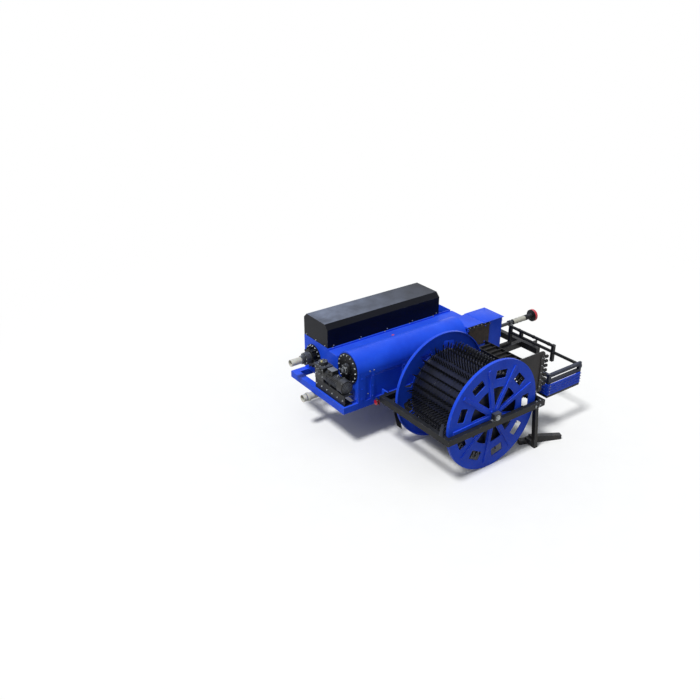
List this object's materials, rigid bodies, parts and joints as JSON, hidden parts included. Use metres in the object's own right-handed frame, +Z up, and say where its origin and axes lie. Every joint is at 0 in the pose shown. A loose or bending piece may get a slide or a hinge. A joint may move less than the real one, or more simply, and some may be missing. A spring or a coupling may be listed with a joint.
{
  "type": "towed pumpkin seed harvester",
  "caption": "Towed harvester with a spiked pick-up drum beside a long body of separating drums, a cover, a front inlet, a drive shaft and a seed outlet.",
  "frame": {"origin": "centre of the box on the floor", "axes": "+X forward, +Y left, +Z up"},
  "size_m": [4.26, 3, 1.5999],
  "materials": {
    "blue_paint": "gloss machine enamel, bright blue",
    "black_paint": "satin black machine paint",
    "cover_skin": "satin dark grey paint",
    "black_rubber": "matt black rubber",
    "tyre_rubber": "matt black tyre rubber",
    "grey_cast": "grey painted casting",
    "bare_steel": "zinc-plated or machined steel",
    "red_plastic": "red moulded plastic",
    "pale_plastic": "pale rigid plastic"
  },
  "bodies": {
    "base": {"axle_beam": "blue_paint", "base_frame": "blue_paint", "cover": "cover_skin", "deck": "blue_paint", "far_body": "blue_paint", "far_flange": "black_paint", "front_box": "blue_paint", "front_guard": "black_paint", "gearbox": "grey_cast", "guide_frame": "black_paint", "guide_slats": "blue_paint", "headstock": "black_paint", "inlet_housing": "blue_paint", "jack_tube": "black_paint", "link_pins": "bare_steel", "motor": "grey_cast", "motor_channel": "black_paint", "near_bearing": "grey_cast", "near_casing": "blue_paint", "near_end_plate": "blue_paint", "pump_spout": "pale_plastic", "seed_outlet": "pale_plastic", "seed_pump": "grey_cast", "tail_lamp": "red_plastic"},
    "pickup": {"pickup_frame": "black_paint", "drum_bearings": "grey_cast", "cross_belt": "black_rubber", "belt_rollers": "bare_steel", "belt_frame": "black_paint", "side_plate": "black_paint", "rubber_fingers": "black_rubber", "guide_post": "black_paint", "ground_bar": "black_paint", "scraper": "black_paint"},
    "drum": {"drum_core": "blue_paint", "drum_spikes": "black_paint", "outer_disc": "blue_paint", "inner_disc": "blue_paint", "drum_shaft": "bare_steel"},
    "wheel_left": {"tyre_left": "tyre_rubber", "rim_left": "blue_paint"},
    "wheel_right": {"tyre_right": "tyre_rubber", "rim_right": "blue_paint"},
    "flap": {"inlet_flap": "black_rubber"},
    "drive_shaft": {"pto_shaft": "bare_steel"},
    "jack": {"jack_leg": "bare_steel"}
  },
  "joints": [
    {"name": "pickup_lift", "type": "hinge", "parent": "base", "child": "pickup", "pos_m": [-0.6, 0.02, 0.719], "axis": [-1, 0, 0], "range_deg": [0, 15]},
    {"name": "drum_spin", "type": "hinge", "parent": "pickup", "child": "drum", "pos_m": [-0.6, -0.821, 0.8], "axis": [0, 1, 0], "continuous": true},
    {"name": "wheel_left_spin", "type": "hinge", "parent": "base", "child": "wheel_left", "pos_m": [-0.6, 1.32, 0.254], "axis": [0, 1, 0], "continuous": true},
    {"name": "wheel_right_spin", "type": "hinge", "parent": "base", "child": "wheel_right", "pos_m": [-0.6, 0.31, 0.254], "axis": [0, 1, 0], "continuous": true},
    {"name": "flap_swing", "type": "hinge", "parent": "base", "child": "flap", "pos_m": [0.5415, 0.1197, 1.224], "axis": [1, 0, 0], "range_deg": [0, 60]},
    {"name": "drive_shaft_spin", "type": "hinge", "parent": "base", "child": "drive_shaft", "pos_m": [1.0343, 0.4, 0.92], "axis": [1, 0, 0], "continuous": true},
    {"name": "jack_slide", "type": "slide", "parent": "base", "child": "jack", "axis": [0, 0, 1], "range_m": [0, 0.3]}
  ]
}
